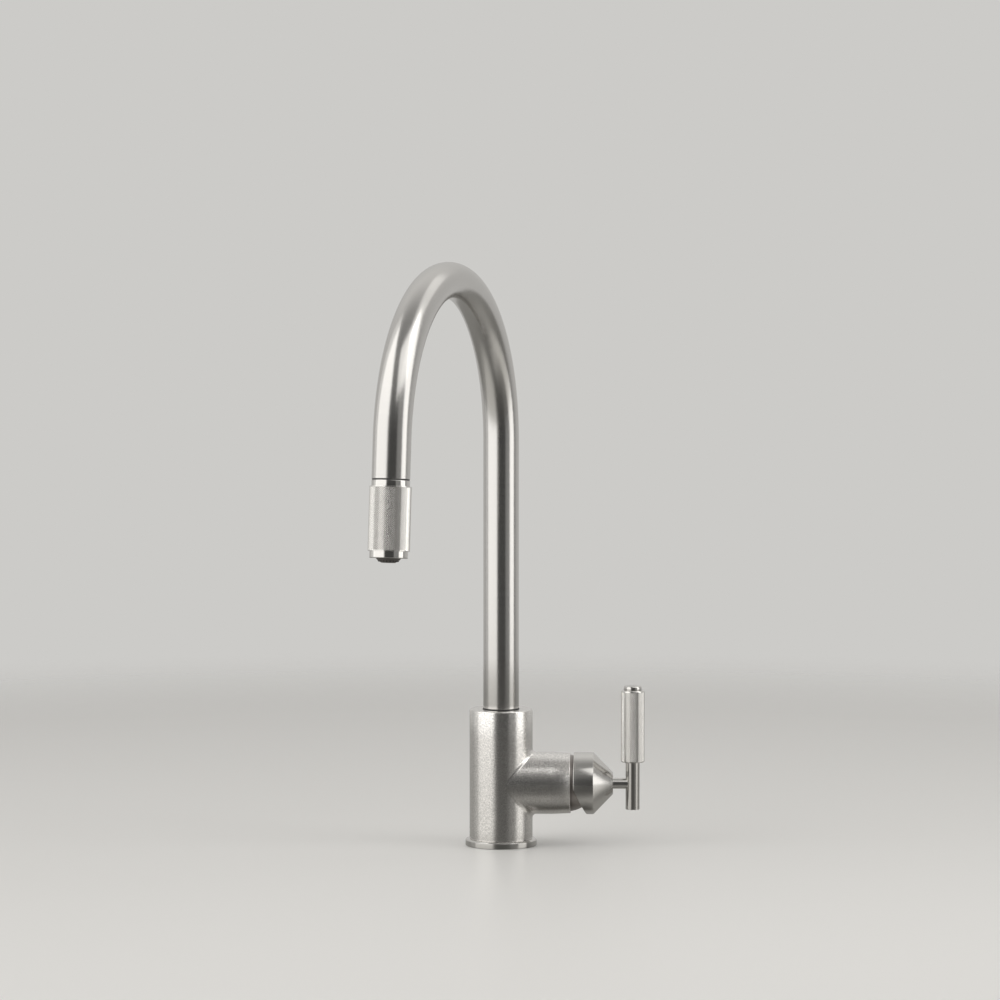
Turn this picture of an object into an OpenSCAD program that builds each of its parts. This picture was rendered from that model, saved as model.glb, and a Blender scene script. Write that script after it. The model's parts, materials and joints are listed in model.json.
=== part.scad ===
// Pull-down kitchen faucet with a swivelling gooseneck spout, a knurled spray head
// on a hose, and a side valve with a bar lever.
//
// Frame: the origin is the centre of the base flange's underside, so z = 0 is the
// deck. +Z is up, +X runs along the valve branch, and the user stands on the -Y side.
// Lengths are in millimetres.

/* [Spout] */
// Outside diameter of the spout tube
tube_d = 28; // [26:0.5:28]
// Wall of the spout tube
tube_wall = 1.2; // [1:0.1:1.5]
// Height above the deck at which the gooseneck bend starts
column_h = 318.4; // [250:0.1:380]
// Radius of the bend, to the centreline of the tube
bend_r = 125; // [100:1:150]
// Angle that the tube bends through
bend_angle = 174.64; // [150:0.01:180]
// Straight stretch of tube after the bend
tail_len = 29.8; // [25:0.1:60]
// Angle of the parked spout from straight ahead, seen from above
park_angle = -15.75; // [-60:0.05:60]
// Angle that the spout may swivel to each side of straight ahead
swivel_half = 75; // [30:1:75]

/* [Body] */
// Outside diameter of the upright body
body_d = 49.5; // [48:0.5:56]
// Height of the body's top face
body_top = 107.3; // [104:0.1:140]
// Outside diameter of the base flange
flange_d = 56; // [54:1:70]
// Thickness of the base flange
flange_h = 5; // [4:0.5:6]

/* [Valve branch] */
// Outside diameter of the branch
branch_d = 48.6; // [46:0.2:49]
// Height of the branch's axis
branch_z = 48.9; // [46:0.1:52]
// Distance of the branch's end face from the column's axis
branch_len = 54.8; // [52:0.1:58]

/* [Lever] */
// Gap between the branch's end face and the lever cap
cap_gap = 2.4; // [2:0.1:3]
// Length of the cap's cylindrical stretch
cap_len = 15.6; // [14:0.1:18]
// Length of the cap's cone
cone_len = 15.2; // [14:0.1:18]
// Diameter of the cone's flat tip
cone_tip_d = 17; // [14:0.5:20]
// Angle of the relief cut under the cap, from vertical
cut_angle = 25.2; // [25:0.1:27]
// Diameter of the rod between the cap and the upright bar
rod_d = 8.5; // [8:0.5:9]
// Diameter of the upright bar
bar_d = 11; // [10:0.5:12]
// Distance of the upright bar from the column's axis
bar_x = 103.4; // [100:0.1:120]
// Height of the bar's lower end
bar_bottom = 28.5; // [24:0.1:36]
// Outside diameter of the lever's knurled grip
grip_d = 18.5; // [16:0.5:22]
// Height at which the lever's knurled grip starts
grip_bottom = 65.8; // [62:0.1:70]
// Length of the lever's knurled grip
grip_len = 56.6; // [40:0.1:70]

/* [Spray head] */
// Outside diameter of the spray head's knurled sleeve
sleeve_d = 30.5; // [30:0.5:32]
// Length of the knurled sleeve
sleeve_len = 47; // [44:0.5:60]
// Length of the plain collar above the sleeve
collar_len = 4.3; // [3:0.1:6]
// Length of the plain ring below the sleeve
ring_len = 5; // [4:0.1:7]
// Gap that the docking bush shows below the tube
dock_gap = 0.8; // [0.5:0.1:1.5]
// Outside diameter of the spray hose
hose_d = 9; // [8.5:0.1:9.4]

/* [Fixing] */
// Thickness of the deck that the clamp grips
deck_t = 20; // [5:1:24]
// Outside diameter of the threaded shank
shank_d = 33; // [32:0.5:34]

/* [Hidden] */
$fn = 96;

steel = "#c9c7c2";
bright = "#dddbd6";
dark_steel = "#8f8b88";
brass = "#c9a95c";
black = "#202020";
grey = "#55585a";
ceramic = "#f0ede4";
plastic = "#e8e8e4";

over = 1; // how far a cutter runs past the face that it cuts
fit = 0.05; // radial clearance of a running fit
loose = 0.35; // radial clearance where two parts must never touch

// spout
tube_r = tube_d / 2;
tube_ri = tube_r - tube_wall;
bend_step = 0.02; // how much thinner the bend's wall is on each side, so that its ends meet as faces
lean = 180 - bend_angle; // lean of the spray head's axis from vertical
spout_azimuth = 270 + park_angle;
bend_end_x = bend_r + bend_r * cos(lean);
bend_end_z = column_h + bend_r * sin(lean);
mouth_x = bend_end_x + tail_len * sin(lean);
mouth_z = bend_end_z - tail_len * cos(lean);

// swivel bearing inside the top of the body
bore_r = 14.35;
bore_floor = 70;
ring_r = bore_r - fit; // outside of the glide rings
foot_z = body_top + 0.6; // the tube's foot, on the upper glide ring
insert_groove_r = 13;
land_r = bore_r - loose;
upper_ring_z = body_top - 10;
lower_ring_z = bore_floor + 3;
stop_z = bore_floor + 18;
stop_r = 2.5;
stop_tip_r = 1.9;
stop_groove_r = 12.2;
stop_tip_reach = stop_groove_r + 0.4;
stop_margin = 9.5; // half-angle that the stop screw's tip takes up in the groove
stop_from = 90 - (270 + swivel_half - spout_azimuth) - stop_margin;
stop_to = 90 - (270 - swivel_half - spout_azimuth) + stop_margin;

// water ways of the body
hose_way_r = 5.5;
port_r = 3.5;
port_len = 12;
way_r = 3.1;
cross_r = 2.9;
inlet_x = 4.9;
inlet_y = 9.6;
outlet_x = 10.8;
shank_ri = 15;
shank_top = flange_h + 10;
seal_ring_r = 24.5;
seal_ring_ri = 21;
seal_ring_t = 1.5;

// valve cartridge, along +X
seat_x = branch_len - 34.8; // floor of the cartridge cavity
cavity_r = 18;
cart_r = 17.3;
disc_x = seat_x + 10;
disc_t = 4;
disc_r = 14.8;
slide_r = 11.9; // outside of the moving disc and its carrier
gland_x = branch_len - 7.8;
neck_r = 12.5;
neck_end = branch_len + 1.2;
spindle_r = 10;
housing_ri = 16.2;
seal_r = 4.8;
seal_t = 1.4;
valve_in_r = 2.3;
valve_out_r = 2.6;
valve_out_y = -5;

// lever
pivot_x = branch_len - 2.4;
dome_r = 22.1;
dome_t = 1.2;
dome_hole_r = 14.5;
cap_cavity_r = 22.7; // radius of the sphere that the cap is hollowed by
cap_x0 = branch_len + cap_gap;
cap_x1 = cap_x0 + cap_len;
cap_x2 = cap_x1 + cone_len;
cap_r = branch_d / 2;
cut_drop = 2;
ball_x = pivot_x - 9.5;
ball_r = 2.4;
ball_neck_r = 1.7;
stem_w = 6;
stem_r = 4;
stem_x = gland_x + 0.5; // where the stem's square starts
stem_square_len = 14.5;
stem_end = cap_x1 + 6.2;
axle_r = 1.5;
set_screw_x = stem_end - 1.8;
set_screw_r = 2;
set_screw_len = 8;
rod_stud_r = 3;
bar_stud_r = 2.5;
cap_stud_r = 3;
bar_top = grip_bottom + grip_len - 4.4;
grip_top = grip_bottom + grip_len;
end_cap_d = 14;
end_cap_h = 3.5;

// spray head, measured along its own axis from the tube's mouth
collar_h0 = dock_gap;
sleeve_h0 = collar_h0 + collar_len;
ring_h0 = sleeve_h0 + sleeve_len;
head_end = ring_h0 + ring_len;
neck_h0 = -16;
neck_or = 10.5;
neck_ir = 7.5;
core_r = 13.3;
core_ri = 11.5;
core_floor = 6;
hose_r = hose_d / 2;
hose_ri = 3.3;
stem_tube_r = 3;
hose_end_h = -18;
ferrule_h0 = -38;
ferrule_h1 = hose_end_h + 0.3;
nipple_r = 5.9; // the nipple's two flanges
nipple_bore_r = 2;
nut_h1 = -8; // top of the hose nut
filter_h0 = -5.8;
nozzle_proud = 3.4;
nozzle_h0 = 50; // inner face of the nozzle
nozzle_r = 9.2;
seal_h0 = nozzle_h0 - 2;
flow_ri = 5;
poppet_stem_r = 1.2;

// clamp under the deck
clamp_r = 27; // outside of the gasket and washer, and the nut's corners
gasket_t = 3;
washer_t = 2;
nut_h = 12;
washer_z = -deck_t - gasket_t - washer_t;
nut_z = washer_z - nut_h;
shank_bottom = -55;
shank_r = shank_d / 2;
relief_z = -40; // lower end of the thread relief
jack_x = 21.6;
jack_r = 2.5;
jack_head_r = 4.2;
plug_z0 = -76;
plug_z1 = -54;
plug_r = 5.3;
plug_nose_r = 4;
plug_seal_z = plug_z0 + 10;

// ---------- frames and shared shapes ----------

// the spout's frame: +X runs along the gooseneck, away from the column
module in_spout() {
  rotate([0, 0, spout_azimuth]) children();
}

// the spray head's frame: the origin is the tube's mouth, +Z runs out of it
module in_head() {
  in_spout() translate([mouth_x, 0, mouth_z]) rotate([0, 180 - lean, 0]) children();
}

// the branch's frame: +Z runs along the branch, its X is the faucet's Y, its Y is up
module in_branch() {
  translate([0, 0, branch_z]) rotate([90, 0, 90]) children();
}

// a plain rod from height z0 to z1
module rod(r, z0, z1) {
  translate([0, 0, z0]) cylinder(r = r, h = z1 - z0);
}

// a plain tube from height z0 to z1
module tube(r_out, r_in, z0, z1) {
  difference() {
    rod(r_out, z0, z1);
    rod(r_in, z0 - over, z1 + over);
  }
}

// a turned solid with a small chamfer at its lower and upper outer edges
module chamfered(r, z0, z1, low, high) {
  rotate_extrude() polygon([
    [0, z0], [r - low, z0], [r, z0 + low], [r, z1 - high], [r - high, z1], [0, z1]
  ]);
}

// a hexagon socket, from its floor up
module hex_socket(r, z0) {
  translate([0, 0, z0]) cylinder(r = r, h = 4, $fn = 6);
}

// the bent stretch of a tube that follows the gooseneck
module bend(r_out, r_in) {
  translate([bend_r, 0, column_h]) rotate([90, 0, 0]) rotate([0, 0, lean])
    rotate_extrude(angle = bend_angle) translate([bend_r, 0]) difference() {
      circle(r = r_out);
      circle(r = r_in);
    }
}

// ---------- fixed body ----------

module body_casting() {
  color(steel) difference() {
    union() {
      chamfered(body_d / 2, flange_h, body_top, 0.4, 0.8);
      in_branch() chamfered(branch_d / 2, 0, branch_len, 0.4, 0.6);
    }
    // swivel bore, hose way and shank socket
    rod(bore_r, bore_floor, body_top + over);
    rod(hose_way_r, flange_h, bore_floor + over);
    rod(shank_r, flange_h - over, shank_top);
    // cartridge cavity
    in_branch() rod(cavity_r, seat_x, branch_len + over);
    // hot and cold inlets, and the outlet to the spray hose
    for (side = [-1, 1]) {
      translate([inlet_x, side * inlet_y, 0]) rod(port_r, shank_top - over, shank_top + port_len);
      translate([inlet_x, side * inlet_y, 0]) rod(way_r, shank_top, branch_z + 2.5);
      in_branch() translate([side * inlet_y, 0, 0]) rod(cross_r, inlet_x, seat_x + over);
    }
    translate([outlet_x, 0, 0]) rod(port_r, shank_top - over, shank_top + port_len);
    translate([outlet_x, 0, 0]) rod(way_r, shank_top, branch_z - inlet_y + 2.5);
    in_branch() translate([0, -inlet_y, 0]) rod(cross_r, outlet_x, seat_x + over);
    // tapped hole for the swivel stop screw, at the back
    translate([0, 0, stop_z]) rotate([-90, 0, 0]) rod(stop_r, bore_r - over, body_d / 2 + over);
  }
}

module base_flange() {
  color(bright) difference() {
    chamfered(flange_d / 2, 0, flange_h, 0, 0.8);
    rod(shank_r + 0.1, -over, flange_h + over);
    tube(seal_ring_r, seal_ring_ri, -over, seal_ring_t);
  }
}

module base_gasket() {
  color(black) tube(seal_ring_r, seal_ring_ri, 0, seal_ring_t);
}

module mounting_shank() {
  color(brass) difference() {
    rod(shank_r, shank_bottom, shank_top);
    rod(shank_ri, shank_bottom - over, shank_top + over);
    tube(shank_r + over, shank_r - 1, relief_z, relief_z + 1.5);
  }
}

module clamp_gasket() {
  color(black) tube(clamp_r, shank_r + 0.3, -deck_t - gasket_t, -deck_t);
}

module clamp_washer() {
  color(dark_steel) tube(clamp_r, shank_r + 0.3, washer_z, washer_z + washer_t);
}

module mounting_nut() {
  color(brass) difference() {
    translate([0, 0, nut_z]) cylinder(r = clamp_r, h = nut_h, $fn = 6);
    rod(shank_r, nut_z - over, washer_z + over);
    for (side = [-1, 1]) translate([side * jack_x, 0, 0]) rod(jack_r, nut_z - over, washer_z + over);
  }
}

module jack_screws() {
  color(dark_steel) for (side = [-1, 1]) translate([side * jack_x, 0, 0]) {
    rod(jack_r, nut_z - 4, washer_z);
    rod(jack_head_r, nut_z - 8, nut_z - 4);
  }
}

module swivel_stop_screw() {
  color(dark_steel) translate([0, 0, stop_z]) rotate([-90, 0, 0]) difference() {
    union() {
      rod(stop_r, bore_r + 0.3, body_d / 2 - 0.6);
      rod(stop_tip_r, stop_tip_reach, bore_r + 0.3);
    }
    hex_socket(1.44, body_d / 2 - 3.2);
  }
}

module cartridge_housing() {
  color(plastic) in_branch() difference() {
    union() {
      rod(cart_r, disc_x + disc_t, gland_x);
      rod(neck_r, gland_x, neck_end);
    }
    rod(housing_ri, disc_x + disc_t - over, gland_x - 1.8);
    rod(spindle_r + fit, gland_x - 3, neck_end + over);
  }
}

module cartridge_base() {
  color(grey) in_branch() difference() {
    rod(cart_r, seat_x, disc_x + disc_t);
    rod(disc_r + 0.1, disc_x, disc_x + disc_t + over);
    // the two inlets run straight through
    for (side = [-1, 1]) translate([side * inlet_y, 0, 0]) {
      rod(seal_r, seat_x - over, seat_x + seal_t);
      rod(valve_in_r, seat_x, disc_x + over);
    }
    // the outlet steps down from the disc's hole to its own port
    translate([0, -inlet_y, 0]) rod(seal_r, seat_x - over, seat_x + seal_t);
    translate([0, -inlet_y, 0]) rod(valve_in_r, seat_x, seat_x + 6);
    translate([0, valve_out_y, 0]) rod(valve_out_r, seat_x + 3, disc_x + over);
    translate([-1.5, -inlet_y, seat_x + 3]) cube([3, inlet_y + valve_out_y, 3]);
  }
}

module port_seals() {
  color(black) in_branch() for (at = [[-inlet_y, 0], [inlet_y, 0], [0, -inlet_y]])
    translate(at) tube(seal_r, 3, seat_x, seat_x + seal_t);
}

module fixed_disc() {
  color(ceramic) in_branch() difference() {
    rod(disc_r, disc_x, disc_x + disc_t);
    for (side = [-1, 1]) {
      translate([side * inlet_y, 0, 0]) rod(valve_in_r, disc_x - over, disc_x + disc_t + over);
      translate([side * 7.2, 6.4, 0]) rod(2.2, disc_x - over, disc_x + disc_t + over);
    }
    translate([0, valve_out_y, 0]) rod(valve_out_r, disc_x - over, disc_x + disc_t + over);
  }
}

module cartridge_nut() {
  color(brass) in_branch() difference() {
    rod(cavity_r - 0.1, gland_x, branch_len + 2.2);
    rod(neck_r + 0.2, gland_x - over, branch_len + 3.2);
  }
}

module dome_cover() {
  color(dark_steel) in_branch() translate([0, 0, pivot_x]) rotate_extrude() {
    intersection() {
      difference() {
        circle(r = dome_r);
        circle(r = dome_r - dome_t);
      }
      translate([dome_hole_r, branch_len - pivot_x]) square([dome_r, dome_r]);
    }
    translate([cavity_r, branch_len - pivot_x]) square([3.2, 1.4]);
  }
}

// ---------- spout ----------

module spout_tube() {
  color(steel) {
    in_spout() {
      tube(tube_r, tube_ri, foot_z, column_h);
      bend(tube_r - bend_step, tube_ri + bend_step);
    }
    in_head() tube(tube_r, tube_ri, -tail_len, 0);
  }
}

module spout_insert() {
  color(brass) in_spout() difference() {
    union() {
      rod(land_r, bore_floor + 1.05, bore_floor + 3);
      rod(insert_groove_r, bore_floor + 3, foot_z);
      rod(land_r, lower_ring_z + 8, upper_ring_z);
      rod(tube_ri, foot_z, foot_z + 20);
    }
    rod(8, bore_floor, foot_z + 21);
    rotate([0, 0, stop_from - spout_azimuth]) rotate_extrude(angle = stop_to - stop_from)
      translate([stop_groove_r, stop_z - 2.3]) square([4, 4.6]);
  }
}

module glide_ring_upper() {
  color(black) tube(ring_r, insert_groove_r, upper_ring_z, foot_z);
}

module glide_ring_lower() {
  color(black) tube(ring_r, insert_groove_r, lower_ring_z, lower_ring_z + 8);
}

module thrust_washer() {
  color(plastic) tube(land_r, 8, bore_floor + 0.05, bore_floor + 1.05);
}

module dock_bush() {
  color(black) in_head() difference() {
    union() {
      rod(tube_ri, -22, 0);
      rod(tube_r - 0.4, 0, dock_gap);
    }
    rod(neck_or + fit, -23, dock_gap + over);
  }
}

module spray_hose() {
  color(grey) {
    in_spout() {
      tube(hose_r, hose_ri, plug_z1, column_h);
      bend(hose_r - bend_step, hose_ri + bend_step);
    }
    in_head() tube(hose_r, hose_ri, -tail_len, hose_end_h);
  }
}

module hose_plug() {
  color(brass) difference() {
    union() {
      rod(plug_nose_r, plug_z0, plug_z0 + 13);
      rod(plug_r, plug_z0 + 13, plug_z1);
      rod(stem_tube_r, plug_z1, plug_z1 + 14);
    }
    rod(nipple_bore_r, plug_z0 - over, plug_z1 + 15);
    tube(plug_nose_r + over, plug_nose_r - 1, plug_seal_z, plug_seal_z + 1.8);
  }
}

module hose_plug_seal() {
  color(black) tube(plug_nose_r, plug_nose_r - 1, plug_seal_z, plug_seal_z + 1.8);
}

// ---------- hose end ----------

module hose_ferrule() {
  color(steel) in_head() tube(5.6, hose_r + 0.3, ferrule_h0, ferrule_h1);
}

module hose_nipple() {
  color(brass) in_head() difference() {
    union() {
      rod(stem_tube_r, ferrule_h0 + 2, nut_h1 + 1);
      rod(nipple_r, ferrule_h1, ferrule_h1 + 1.4);
      rod(nipple_r, nut_h1 + 0.3, nut_h1 + 1.8);
    }
    rod(nipple_bore_r, ferrule_h0, nut_h1 + 3);
  }
}

// ---------- spray head ----------

module hose_nut() {
  color(brass) in_head() tube(neck_ir, stem_tube_r + 0.3, neck_h0 + 0.1, nut_h1);
}

module spray_shell() {
  color(bright) in_head() difference() {
    union() {
      rod(neck_or, neck_h0, collar_h0);
      chamfered(tube_r, collar_h0, sleeve_h0, 0.3, 0);
      rod(core_r, sleeve_h0, ring_h0);
    }
    rod(neck_ir, neck_h0 - over, core_floor + over);
    rod(core_ri, core_floor, ring_h0 + over);
  }
}

module knurled_sleeve() {
  color(steel) in_head() difference() {
    chamfered(sleeve_d / 2, sleeve_h0, ring_h0, 0.5, 0.5);
    rod(core_r, sleeve_h0 - over, ring_h0 + over);
  }
}

module inlet_filter() {
  color(grey) in_head() difference() {
    rod(neck_ir, filter_h0, filter_h0 + 2.2);
    for (turn = [0:60:300]) rotate([0, 0, turn]) translate([4.2, 0, 0]) rod(1.3, filter_h0 - over, -2);
    rod(1.3, filter_h0 - over, -2);
  }
}

module check_valve() {
  color(plastic) in_head() difference() {
    rod(neck_ir, -3.4, core_floor);
    rod(3.2, -4.4, -1);
    rod(5.6, -1.4, 4.4);
    rod(poppet_stem_r + fit, 4, core_floor + over);
    for (turn = [45:90:315]) rotate([0, 0, turn]) translate([3.6, 0, 0]) rod(1.3, 4, 7);
  }
}

module flow_tube() {
  color(plastic) in_head() tube(7.4, flow_ri, core_floor + 0.2, seal_h0);
}

module nozzle_seal() {
  color(black) in_head() tube(9, flow_ri, seal_h0, nozzle_h0);
}

module nozzle_ring() {
  color(bright) in_head() difference() {
    union() {
      rod(core_ri, ring_h0 - 8, ring_h0);
      chamfered(tube_r, ring_h0, head_end, 0, 0.4);
    }
    rod(nozzle_r + 0.1, ring_h0 - 9, head_end + over);
  }
}

module nozzle() {
  color("#3a3836") in_head() difference() {
    rotate_extrude() polygon([
      [0, nozzle_h0], [nozzle_r, nozzle_h0], [nozzle_r, head_end], [7.2, head_end + 0.9],
      [5.6, head_end + 2.6], [3.2, head_end + nozzle_proud], [0, head_end + nozzle_proud]
    ]);
    rod(flow_ri, nozzle_h0 - over, head_end - 1.5);
    rod(1.6, head_end - 2, head_end + nozzle_proud + over);
    for (turn = [0:30:330]) rotate([0, 0, turn]) translate([4, 0, 0])
      rod(0.5, head_end - 2, head_end + nozzle_proud + over);
  }
}

// ---------- check valve poppet ----------

module check_poppet() {
  color(grey) in_head() {
    rod(4.6, -1.35, 0.2);
    rod(poppet_stem_r, 0.2, 7.5);
  }
}

module poppet_spring() {
  color(dark_steel) in_head() tube(2.6, 2, 0.25, 4.35);
}

// ---------- temperature rotor ----------

module cartridge_spindle() {
  color(grey) in_branch() difference() {
    rod(spindle_r, gland_x - 1.8, neck_end + 0.4);
    translate([-3.1, -8, gland_x - 3]) cube([6.2, 16, 14]);
    translate([0, 0, pivot_x]) rotate([0, 90, 0]) rod(axle_r, -12, 12);
  }
}

module lever_axle() {
  color(dark_steel) in_branch() translate([0, 0, pivot_x]) rotate([0, 90, 0]) rod(axle_r, -9.4, 9.4);
}

// ---------- lever ----------

module lever_stem() {
  color(brass) in_branch() difference() {
    union() {
      translate([0, 0, ball_x]) sphere(r = ball_r);
      rod(ball_neck_r, ball_x, stem_x + over);
      translate([-stem_w / 2, -stem_w / 2, stem_x]) cube([stem_w, stem_w, stem_square_len]);
      rod(stem_r, stem_x + stem_square_len - 2, stem_end);
    }
    translate([0, 0, pivot_x]) rotate([0, 90, 0]) rod(axle_r + fit, -4, 4);
  }
}

module lever_cap() {
  color(bright) difference() {
    in_branch() rotate_extrude() polygon([
      [0, cap_x0], [cap_r - 0.4, cap_x0], [cap_r, cap_x0 + 0.4], [cap_r, cap_x1],
      [cone_tip_d / 2, cap_x2], [0, cap_x2]
    ]);
    translate([pivot_x, 0, branch_z]) sphere(r = cap_cavity_r);
    in_branch() rod(stem_r, pivot_x + cap_cavity_r - 5, stem_end + 0.5);
    in_branch() rod(rod_stud_r, stem_end + 1.5, cap_x2 + over);
    // relief under the cap, which lets it tip past the branch's end
    translate([0, 0, branch_z - cut_drop]) rotate([90, 0, 0])
      linear_extrude(height = 80, center = true) polygon([
        [cap_x0 - 5, 0], [cap_x0, 0], [cap_x0 + 40 * tan(cut_angle), -40], [cap_x0 - 5, -40]
      ]);
    translate([set_screw_x, 0, branch_z]) rotate([180, 0, 0]) rod(set_screw_r, stem_r - over, 30);
  }
}

module cap_set_screw() {
  color(dark_steel) translate([set_screw_x, 0, branch_z]) rotate([180, 0, 0]) difference() {
    rod(set_screw_r, stem_r, stem_r + set_screw_len);
    hex_socket(1.15, stem_r + set_screw_len - 3);
  }
}

module lever_rod() {
  color(bright) difference() {
    in_branch() {
      rod(rod_stud_r, stem_end + 2, cap_x2);
      rod(rod_d / 2, cap_x2, bar_x - 1);
    }
    rod_seat();
  }
  color(bright) in_branch() rod(bar_stud_r, bar_x - bar_d / 2 - 0.4, bar_x - 1);
}

// the upright bar's round, which the rod's end is cut to
module rod_seat() {
  translate([bar_x, 0, 0]) rod(bar_d / 2, bar_bottom, bar_top);
}

module lever_bar() {
  color(bright) difference() {
    translate([bar_x, 0, 0]) chamfered(bar_d / 2, bar_bottom, bar_top, 0.8, 0.3);
    in_branch() rod(bar_stud_r, bar_x - bar_d, bar_x - 1);
    translate([bar_x, 0, 0]) rod(cap_stud_r, bar_top - 9, bar_top + over);
  }
}

module lever_grip() {
  color(steel) translate([bar_x, 0, 0]) difference() {
    chamfered(grip_d / 2, grip_bottom, grip_top, 0.8, 0.8);
    rod(bar_d / 2, grip_bottom - over, grip_top + over);
  }
}

module grip_end_cap() {
  color(bright) translate([bar_x, 0, 0]) {
    rod(cap_stud_r, bar_top - 8, bar_top);
    rod(bar_d / 2, bar_top, grip_top);
    chamfered(end_cap_d / 2, grip_top, grip_top + end_cap_h, 0, 1.2);
  }
}

// ---------- disc carrier ----------

module disc_carrier() {
  color(grey) in_branch() difference() {
    rod(slide_r, disc_x + 2 * disc_t, gland_x - 2.2);
    rod(ball_r + 0.25, disc_x + 2 * disc_t + 1.6, gland_x);
  }
}

module moving_disc() {
  color(ceramic) in_branch() difference() {
    rod(slide_r, disc_x + disc_t + fit, disc_x + 2 * disc_t);
    rod(6.4, disc_x + disc_t - over, disc_x + disc_t + 2.6);
  }
}

body_casting();
base_flange();
base_gasket();
mounting_shank();
clamp_gasket();
clamp_washer();
mounting_nut();
jack_screws();
swivel_stop_screw();
cartridge_housing();
cartridge_base();
port_seals();
fixed_disc();
cartridge_nut();
dome_cover();
spout_tube();
spout_insert();
glide_ring_upper();
glide_ring_lower();
thrust_washer();
dock_bush();
spray_hose();
hose_plug();
hose_plug_seal();
hose_ferrule();
hose_nipple();
hose_nut();
spray_shell();
knurled_sleeve();
inlet_filter();
check_valve();
flow_tube();
nozzle_seal();
nozzle_ring();
nozzle();
check_poppet();
poppet_spring();
cartridge_spindle();
lever_axle();
lever_stem();
lever_cap();
cap_set_screw();
lever_rod();
lever_bar();
lever_grip();
grip_end_cap();
disc_carrier();
moving_disc();
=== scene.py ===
"""Looks of a pull-down kitchen faucet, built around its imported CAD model.

Lengths are in metres. Each detailed piece takes its size and place from the CAD node that
it stands for, and is made in a frame whose Z is the axis that the piece was turned about.
"""

import json
import math

import bmesh
import bpy
import numpy as np
from mathutils import Matrix, Vector


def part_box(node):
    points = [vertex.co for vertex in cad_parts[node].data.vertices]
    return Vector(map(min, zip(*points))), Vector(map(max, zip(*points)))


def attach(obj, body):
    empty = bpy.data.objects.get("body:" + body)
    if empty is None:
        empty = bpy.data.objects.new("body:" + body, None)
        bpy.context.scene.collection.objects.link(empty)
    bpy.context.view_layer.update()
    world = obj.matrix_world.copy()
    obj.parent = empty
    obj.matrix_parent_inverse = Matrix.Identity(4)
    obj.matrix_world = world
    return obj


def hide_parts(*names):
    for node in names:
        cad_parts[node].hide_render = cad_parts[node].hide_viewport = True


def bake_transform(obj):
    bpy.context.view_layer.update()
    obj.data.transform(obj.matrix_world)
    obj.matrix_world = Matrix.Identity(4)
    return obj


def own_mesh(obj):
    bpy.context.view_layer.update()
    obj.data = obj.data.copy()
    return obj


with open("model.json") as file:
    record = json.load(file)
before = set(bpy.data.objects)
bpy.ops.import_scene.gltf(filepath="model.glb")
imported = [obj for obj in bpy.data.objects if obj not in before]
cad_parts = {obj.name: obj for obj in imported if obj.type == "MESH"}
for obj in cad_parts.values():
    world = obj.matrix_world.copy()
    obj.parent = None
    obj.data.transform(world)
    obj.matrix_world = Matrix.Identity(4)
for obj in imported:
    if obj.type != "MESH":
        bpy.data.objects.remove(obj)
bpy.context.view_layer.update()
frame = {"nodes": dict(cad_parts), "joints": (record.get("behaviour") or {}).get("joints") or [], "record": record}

MM = 0.001
HAIR = 1e-9  # a length too short to matter
FULL_TURN = 2 * math.pi
ROUND = 128  # faces round a large turned piece
SMALL_ROUND = 64
SHARP = 32.0  # degrees between faces over which an edge is kept sharp
joints = {joint["name"]: joint for joint in frame["joints"]}


# ---------- frames and sizes, from the CAD model ----------

def frame_along(origin, axis):
    """A frame whose Z runs along axis and whose X is level."""
    z = Vector(axis).normalized()
    x = Vector((0, 0, 1)).cross(z)
    x = x.normalized() if x.length > HAIR else Vector((1, 0, 0))
    place = Matrix((x, z.cross(x), z)).transposed().to_4x4()
    place.translation = Vector(origin)
    return place


def corners_in(node, place):
    """A CAD node's vertices in a frame of its own."""
    inverse = place.inverted()
    return np.array([inverse @ vertex.co for vertex in frame["nodes"][node].data.vertices])


def turned_size(node, place):
    """Inner radius, outer radius, start and end of a CAD node about a frame's Z."""
    points = corners_in(node, place)
    radii = np.hypot(points[:, 0], points[:, 1])
    return radii.min(), radii.max(), points[:, 2].min(), points[:, 2].max()


def middle(node, side):
    """The middle of a CAD node's box along x, y or z, as side is 0, 1 or 2."""
    low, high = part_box(node)
    return (low[side] + high[side]) / 2


UP = Matrix.Identity(4)
branch_z = joints["temperature_turn"]["pos_m"][2]
BRANCH = frame_along((0, 0, branch_z), (1, 0, 0))
HEAD = frame_along(joints["spray_spin"]["pos_m"], joints["spray_pull"]["axis"])
BAR = frame_along((middle("lever_bar", 0), 0, 0), (0, 0, 1))


# ---------- outlines and shapes ----------
# a shape is a tuple of its points, its faces and its points' grain coordinates

def polar(radius, turn, height):
    """A point at a radius, an angle and a height."""
    return radius * math.cos(turn), radius * math.sin(turn), height


def evenly(steps):
    """The angles of a full turn in equal steps."""
    return [FULL_TURN * k / steps for k in range(steps)]


def unit(arrow):
    """An arrow of length 1."""
    return arrow / np.linalg.norm(arrow)


def soften(corners, steps=4):
    """An outline whose (radius, height, fillet) corners are rounded by arcs of that fillet."""
    outline = []
    for index, (radius, height, fillet) in enumerate(corners):
        corner = np.array((radius, height))
        if fillet <= 0:
            outline.append(corner)
            continue
        before = unit(np.array(corners[index - 1][:2]) - corner)
        after = unit(np.array(corners[(index + 1) % len(corners)][:2]) - corner)
        half = math.acos(np.clip(before @ after, -1, 1)) / 2
        centre = corner + unit(before + after) * fillet / math.sin(half)
        first = corner + before * fillet / math.tan(half) - centre
        last = corner + after * fillet / math.tan(half) - centre
        sweep = math.pi - 2 * half
        for step in range(steps + 1):
            share = step / steps
            arm = first * math.sin((1 - share) * sweep) + last * math.sin(share * sweep)
            outline.append(centre + arm / math.sin(sweep))
    return [tuple(point) for point in outline]


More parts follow.
